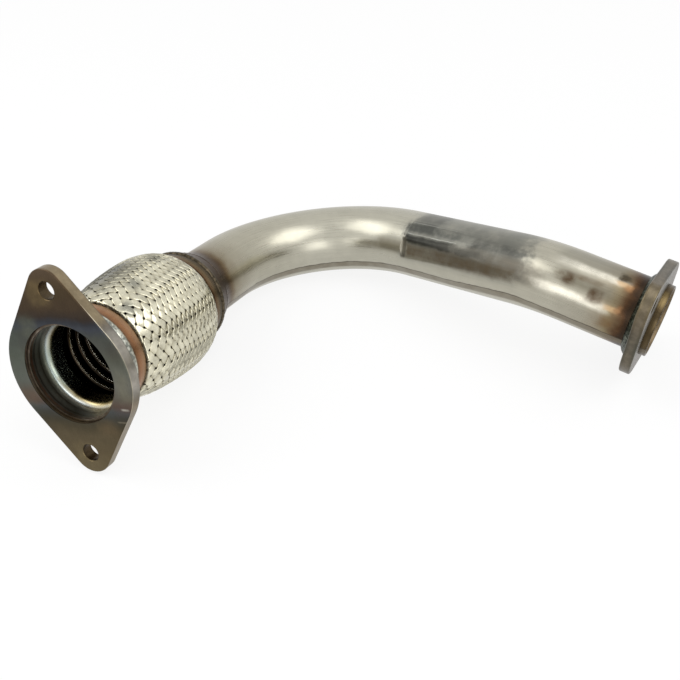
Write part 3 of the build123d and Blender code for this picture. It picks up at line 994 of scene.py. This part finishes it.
@dataclass
class FlexibleJoint:
    """Braid, end rings, backing rings and bellows."""

    # Stainless band, rolled and crimped, browned by the welds at its edge: copper brown, satin,
    # and almost black where it meets the braid, which is painted shade in the crevice.
    front_ring: Bands = Bands(Measure.Z, ((19.5, "#5a5145"), (21.3, "#5f5140"), (22.6, "#785840"),
        (24.5, "#8f6748"), (27.0, "#98765a"), (29.2, "#94775a"), (29.8, "#5c4228"), (30.2, "#33220f")),
        wander_mm=0.12)
    # The rear band is painted near black in the same way, as shade, where the braid meets it.
    rear_ring: Bands = Bands(Measure.Z, ((103.0, "#170d05"), (104.4, "#291908"), (105.4, "#4a351c"),
        (106.4, "#66513a"), (108.4, "#665740"), (110.0, "#524838"), (113.6, "#423c31")), wander_mm=0.3)
    # Thin stainless, rolled into waves: its inner ridges carry a painted highlight, near white, and
    # the hollows between them painted shade, near black.
    waves: SteelFinish = SteelFinish(
        "bellows_stainless_painted_ridge_light_hollow_shade",
        Bands(Measure.RADIUS, ((25.3, "#fffaf0"), (25.8, "#fffaf0"), (25.9, "#2a2219"), (26.3, "#15110d"),
              (31.0, "#100c09")), wander_mm=0.02, cloud_mm=3.0), 0.08,
        relief_mm=0.0005, mottle=0.15, gloss_spread=0.02)

    def build(self) -> list[Piece]:
        """Build the braid and dress the CAD pieces around it.

        Returns:
            The pieces.
        """
        pieces = WovenBraid().build()
        for name, bands in (("inlet_ferrule", self.front_ring), ("outlet_ferrule", self.rear_ring)):
            finish = SteelFinish(name + "_stainless_band_browned", bands, 0.3, grain_mm=(0.6, 0.6, 0.6),
                                 mottle=0.12)
            pieces.append(dress(name, finish.material()))
        # The bellows' painted ridge highlights and hollow shade, also laid on the backing rings.
        ridge_light_hollow_shade = self.waves.material()
        hidden = ("bellows", "inlet_backing_ring", "outlet_backing_ring")
        return pieces + [dress(name, ridge_light_hollow_shade) for name in hidden]


@dataclass
class InletEnd:
    """Near flange, its stub and guide sleeve, and their welds."""

    # Steel plate, laser cut and ground flat, then heated by the weld around its bore: olive-brown
    # ears, slate-blue rims to the heated zone, and grey where it was hottest. The grinding
    # shows as fine lines along the plate, drawn coarser than real grit. A pale line along the
    # rounded front edge is a painted highlight.
    flange: SteelFinish = SteelFinish(
        "flange_steel_plate_ground_heat_tinted", Bands(Measure.X, (
        (-62, "#675c44"), (-48, "#5a4f3a"), (-38, "#554b38"), (-33, "#4a4231"), (-29, "#403b2e"),
        (-25, "#3d3c36"), (-21, "#484a49"), (-17, "#574a40"), (-13, "#5a554b"), (-6, "#62615a"),
        (2, "#5d5e56"), (10, "#55574d"), (17, "#4b4c46"), (23, "#464843"), (28, "#3d4046"),
        (31, "#333438"), (34, "#372f29"), (39, "#43372a"), (50, "#463a2a"), (62, "#57493a")),
        wander_mm=1.6, cloud_mm=14.0), 0.33,
        patches=(
            Patch((2, -36, 0), (26, 7, 2), (8, 5, 1), "#4a524a", 0.55),
            Patch((28, -20, 0), (5, 6, 2), (4, 4, 1), "#5b5d4e", 0.6),
            Patch((-6, 35, 0), (9, 4, 2), (5, 3, 1), "#74715f", 0.5),
            Patch((-32, 18, 0), (4, 6, 2), (4, 4, 1), "#64553f", 0.7),
            Patch((14, 35, 0), (5, 4, 2), (5, 3, 1), "#46433b", 0.6),
            Patch((-15, -33, 0), (5, 6, 2), (4, 4, 1), "#64493b", 0.5),
            Patch((-18, 33, 0), (4, 7, 2), (4, 4, 1), "#52423e", 0.5),
            Patch((BOLT_REACH - 1, -6, 0), (7, 7, 1), (3, 3, 1), "#66573c", 0.7),
            Patch((-BOLT_REACH, -3, 0), (6, 7, 1), (3, 3, 1), "#6b5f45", 0.6),
            Patch((-19, 33, 0), (0.5, 2.4, 1), (0.6, 1, 1), "#b3afa4", 0.7, None, STILL),
            Patch((-27, 31, 0), (0.3, 5, 1), (0.5, 1, 1), "#7d7564", 0.6, None, STILL),
            Patch((46, 0, 3.75), (18, ANY, 3.1), (5, 1, 0.4), "#94866c", 0.9, 0.36, STILL),
            Patch((8, 0, 3.75), (18, ANY, 3.1), (6, 1, 0.4), "#a39d93", 0.9, 0.3, STILL),
            Patch((-38, 0, 3.75), (24, ANY, 3.1), (6, 1, 0.4), "#85775f", 0.9, 0.36, STILL),
            # Painted highlight: a pale line along the rounded front edge.
            Patch((0, 0, 0.62), (40, ANY, 0.2), (8, 1, 0.12), "#c9bfa8", 0.6, 0.26, STILL),
            Patch((BOLT_REACH, 0, 3.75), (5.9, 5.9, 3.3), (0.6, 0.6, 0.3), "#3b2e1e", 0.95, 0.4, STILL),
            Patch((-BOLT_REACH, 0, 3.75), (5.9, 5.9, 3.3), (0.6, 0.6, 0.3), "#3b2e1e", 0.95, 0.4, STILL)),
        grain_mm=(6.0, 0.5, 0.5), relief_mm=0.008, mottle_mm=6.0, mottle=0.1)
    # Steel tube, cut and welded in: a reddish ring of heat colour behind its rim, then dark
    # and pale grey ones, satin.
    stub: SteelFinish = SteelFinish(
        "stub_steel_tube_heat_tinted",
        Bands(Measure.RADIUS, ((28.5, "#999588"), (29.2, "#8f8578"), (29.6, "#6b6055"), (30.0, "#5b5146")),
              wander_mm=0.03), 0.36,
        patches=(
            Patch((0, 0, 3.4), (ANY, ANY, 0.9), (1, 1, 0.6), "#a3745a", 0.85),
            Patch((0, 0, 5.6), (ANY, ANY, 0.4), (1, 1, 0.5), "#40372b", 0.75),
            Patch((0, 0, 7.6), (ANY, ANY, 0.9), (1, 1, 0.7), "#aeb2aa", 0.6),
            Patch((0, 0, 10.0), (ANY, ANY, 0.6), (1, 1, 0.6), "#453b2f", 0.7),
            Patch((-26, 6, 8), (8, 20, ANY), (5, 8, 1), "#55513f", 0.75),
            Patch((0, 0, 1.9), (ANY, ANY, 0.3), (1, 1, 0.3), "#3a2e24", 0.9)),
        relief_mm=0.001, mottle_mm=7.0, mottle=0.1)
    # Stainless sheet, rolled over into a lip: nearly polished, straw gold and pale blue from heat,
    # with a painted highlight as a pale ring round its middle, and painted shade that darkens it
    # to near black at its inner edge and in a dark patch on its upper side.
    sleeve: SteelFinish = SteelFinish(
        "sleeve_stainless_rolled_painted_highlight_and_shade",
        # Painted highlight in the pale ring near 26.4 mm; painted shade towards the inner edge.
        Bands(Measure.RADIUS, ((24.2, "#211b11"), (24.8, "#4a4029"), (25.5, "#978b69"), (26.4, "#cbc9bb"),
              (27.2, "#b3bcc0"), (28.1, "#a0a1a0"), (28.6, "#8a8379")), wander_mm=0.3), 0.26,
        patches=(
            # Painted shade: the first of these patches darkens the lip's upper side.
            Patch((24, -6, 2), (9, 24, ANY), (7, 6, 1), "#4b4a40", 0.85),
            Patch((-2, -24, 2), (14, 8, ANY), (8, 5, 1), "#93a49e", 0.75),
            Patch((-22, 10, 2), (7, 14, ANY), (6, 6, 1), "#d8c68e", 0.7),
            Patch((-11, 22, 2), (7, 5, ANY), (6, 4, 1), "#453f2e", 0.85)),
        relief_mm=0.003, mottle_mm=5.0, mottle=0.12)
    weld: SteelFinish = weld_finish(
        "weld_steel_blue_grey_scale", INLET, 15.0, "#4b4a42", "#868880", "#c2c2b6")

    def build(self) -> list[Piece]:
        """Dress the CAD pieces and build the beads.

        Returns:
            The pieces.
        """
        pieces = [dress("inlet_flange", self.flange.material()),
                  dress("inlet_stub", self.stub.material()),
                  dress("inlet_sleeve", self.sleeve.material())]
        metal = self.weld.material()
        corner = corner_outline(RING_RADIUS, face=7.5, leg=3.5)
        seam = seam_outline(RING_RADIUS, middle=19.5, width=4.4, height=0.8)
        return pieces + [WeldBead("flange_bead", "inlet_flange_weld", INLET, corner, 3).build(metal),
                         WeldBead("front_cuff_bead", "inlet_cuff_weld", INLET, seam, 5).build(metal)]


@dataclass
class Collar:
    """Tapered collar behind the joint, and the beads at its two ends."""

    # Steel, pressed into a cone between two welds: dark brown and satin from the heat of both.
    cone: SteelFinish = SteelFinish(
        "collar_steel_pressed_heat_browned",
        Bands(Measure.Z, ((113.4, "#3d3123"), (116.0, "#3d2e1d"), (119.0, "#412e1b"), (121.5, "#3c2a18"),
              (124.2, "#322312")), wander_mm=0.8), 0.44,
        mottle=0.18)
    grey_weld: SteelFinish = weld_finish(
        "weld_steel_dark_grey_scale", INLET, 113.5, "#332e25", "#4f4739", "#665b4a")
    brown_weld: SteelFinish = weld_finish(
        "weld_steel_brown_scale", INLET, 125.5, "#2d251d", "#453a2e", "#584b3c")
    toe_outline: Pairs = (
        (26.4, 123.9), (26.4, 124.6), (26.1, 125.3), (25.6, 125.9), (25.1, 126.3), (24.7, 126.6),
        (24.4, 126.8), (24.0, 126.6), (24.9, 123.9))

    def build(self) -> list[Piece]:
        """Dress the collar and build its beads.

        Returns:
            The pieces.
        """
        seam = seam_outline(RING_RADIUS, middle=113.5, width=3.2, height=0.8)
        rear = WeldBead("rear_cuff_bead", "outlet_cuff_weld", INLET, seam, 7)
        toe = WeldBead("collar_bead", "outlet_collar_weld", INLET, self.toe_outline, 11, wander=0.15)
        return [dress("outlet_collar", self.cone.material()),
                rear.build(self.grey_weld.material()), toe.build(self.brown_weld.material())]


@dataclass
class OutletEnd:
    """Far flange and the bead behind it."""

    # Steel plate, laser cut: satin olive grey, browner in the middle from the weld's heat and
    # paler at one tip, with the cut's fine lines on its edge.
    plate: SteelFinish = SteelFinish(
        "flange_steel_plate_laser_cut", Bands(Measure.X, (
        (-62, "#57533f"), (-46, "#544e3d"), (-30, "#5a5142"), (-14, "#584b3f"), (2, "#574e41"),
        (16, "#585244"), (30, "#4c493e"), (42, "#4d4739"), (52, "#625743"), (62, "#6f6551")),
        wander_mm=2.0, cloud_mm=12.0), 0.36, OUTLET,
        (Patch((0, 0, 7.05), (ANY, ANY, 1.7), (1, 1, 0.9), "#6f6657", 0.6),),
        grain_mm=(3.0, 0.6, 0.6), mottle_mm=3.5, mottle=0.22)
    weld: SteelFinish = weld_finish(
        "weld_steel_grey_green_scale", OUTLET, 12.5, "#1f211a", "#383c31", "#62675a")

    def build(self) -> list[Piece]:
        """Dress the flange and build its bead.

        Returns:
            The pieces.
        """
        corner = corner_outline(TUBE_RADIUS, face=10.3, leg=4.6)
        bead = WeldBead("outlet_flange_bead", "outlet_flange_weld", OUTLET, corner, 13)
        return [dress("outlet_flange", self.plate.material()),
                bead.build(self.weld.material())]


@dataclass(frozen=True)
class Lamp:
    """A square soft lamp, by its direction from the part, aimed a little above the floor."""

    name: str
    azimuth: float
    elevation: float
    size: float
    brightness: float
    distance: float = 1.5
    aim_height: float = 0.03

    def build(self) -> None:
        """Hang the lamp so that it faces the part."""
        data = bpy.data.lights.new(self.name, "AREA")
        data.shape, data.size = "SQUARE", self.size
        data.energy = self.brightness * math.pi * self.size ** 2
        lamp = bpy.data.objects.new(self.name, data)
        turn, lift = math.radians(self.azimuth), math.radians(self.elevation)
        lamp.location = Vector((math.cos(lift) * math.cos(turn), math.cos(lift) * math.sin(turn),
                                math.sin(lift))) * self.distance
        back = lamp.location - Vector((0, 0, self.aim_height))
        lamp.rotation_euler = back.to_track_quat("Z", "Y").to_euler()
        lamp.visible_camera = False
        bpy.context.scene.collection.objects.link(lamp)


@dataclass
class Studio:
    """Pale floor, soft lamps and the camera of the photograph."""

    lens: float = 51.669
    sensor: float = 36.0
    nearest: float = 0.01
    place: tuple[float, float, float] = (-0.431298, -0.193404, 0.395802)
    right: tuple[float, float, float] = (0.41943032, -0.90717313, -0.03339346)
    up: tuple[float, float, float] = (0.56604352, 0.23259678, 0.79088145)
    lamps: tuple[Lamp, ...] = (
        Lamp("lamp_high_right", -85, 60, 1.1, 2.0), Lamp("lamp_high_left", 110, 47, 1.0, 2.0),
        Lamp("lamp_low_front", -142, 16, 0.75, 1.7), Lamp("lamp_low_left", 164, 15, 0.65, 1.7))
    surround: float = 0.65
    floor_white: float = 0.85
    paper: tuple[float, ...] = (0.95, 0.95, 0.95, 1.0)
    floor_half: float = 20.0
    floor_drop: float = 0.0002

    def camera(self) -> None:
        """Set the camera where the photograph was taken from."""
        data = bpy.data.cameras.new("camera")
        data.lens = self.lens
        data.sensor_width = self.sensor
        data.clip_start = self.nearest
        camera = bpy.data.objects.new("camera", data)
        bpy.context.scene.collection.objects.link(camera)
        back = Vector(self.right).cross(self.up)
        axes = Matrix((self.right, self.up, back)).transposed().to_4x4()
        camera.matrix_world = Matrix.Translation(self.place) @ axes
        bpy.context.scene.camera = camera

    def seen(self, tree: Tree) -> Socket:
        """Tell the rays that see the white background from those that only light the scene.

        Args:
            tree: the node tree of a material or of the world.

        Returns:
            1 for rays from the camera and those that metal or glass sends on, else 0.
        """
        total: Any = 0.0
        for ray in ("Is Camera Ray", "Is Glossy Ray", "Is Transmission Ray"):
            total = add_node(tree, "Math", {"operation": "MAXIMUM"}, {
                0: add_node(tree, "LightPath", out=ray), 1: total})
        return total

    def floor(self) -> None:
        """Lay a plain white floor that keeps the part's shadow."""
        mesh = bpy.data.meshes.new("floor")
        half = self.floor_half
        mesh.from_pydata([(-half, -half, 0), (half, -half, 0), (half, half, 0), (-half, half, 0)], [],
                         [(0, 1, 2, 3)])
        floor = bpy.data.objects.new("floor", mesh)
        bpy.context.scene.collection.objects.link(floor)
        floor.location.z = -self.floor_drop
        # White paper, uncoated: quite matt, mostly white to the camera, with the part's soft shadow.
        material = bpy.data.materials.new("floor_paper_white")
        material.use_nodes = True
        tree = material.node_tree
        tree.nodes.clear()
        paper = add_node(tree, "BsdfDiffuse", inputs={"Color": self.paper})
        white = add_node(tree, "Emission", inputs={"Strength": 1.0})
        share = add_node(tree, "Math", {"operation": "MULTIPLY"}, {0: self.seen(tree), 1: self.floor_white})
        mixed = add_node(tree, "MixShader", inputs={0: share, 1: paper, 2: white})
        add_node(tree, "OutputMaterial", inputs={"Surface": mixed})
        mesh.materials.append(material)

    def light(self) -> None:
        """Set the soft lamps and a white surround that lights the part only a little."""
        world = bpy.data.worlds.new("surround")
        bpy.context.scene.world = world
        world.use_nodes = True
        tree = world.node_tree
        strength = add_node(tree, "MapRange", inputs={
            VALUE: self.seen(tree), TO_LOW: self.surround, TO_HIGH: 1.0})
        tree.links.new(strength, tree.nodes["Background"].inputs["Strength"])
        tree.nodes["Background"].inputs["Color"].default_value = (1.0, 1.0, 1.0, 1.0)
        for lamp in self.lamps:
            lamp.build()

    def build(self) -> None:
        """Set up the camera, the floor, the lights and the view."""
        self.camera()
        self.floor()
        self.light()
        bpy.context.scene.view_settings.view_transform = "Standard"


def main() -> None:
    """Build the studio and every sub-assembly in order, and report each piece."""
    logging.basicConfig(level=logging.INFO, format="%(name)s %(message)s")
    Studio().build()
    for assembly in (Tube(), InletEnd(), FlexibleJoint(), Collar(), OutletEnd()):
        for piece in assembly.build():
            log.info("%s: %s, %d faces", type(assembly).__name__, piece.name, len(piece.data.polygons))


if __name__ == "__main__":
    main()
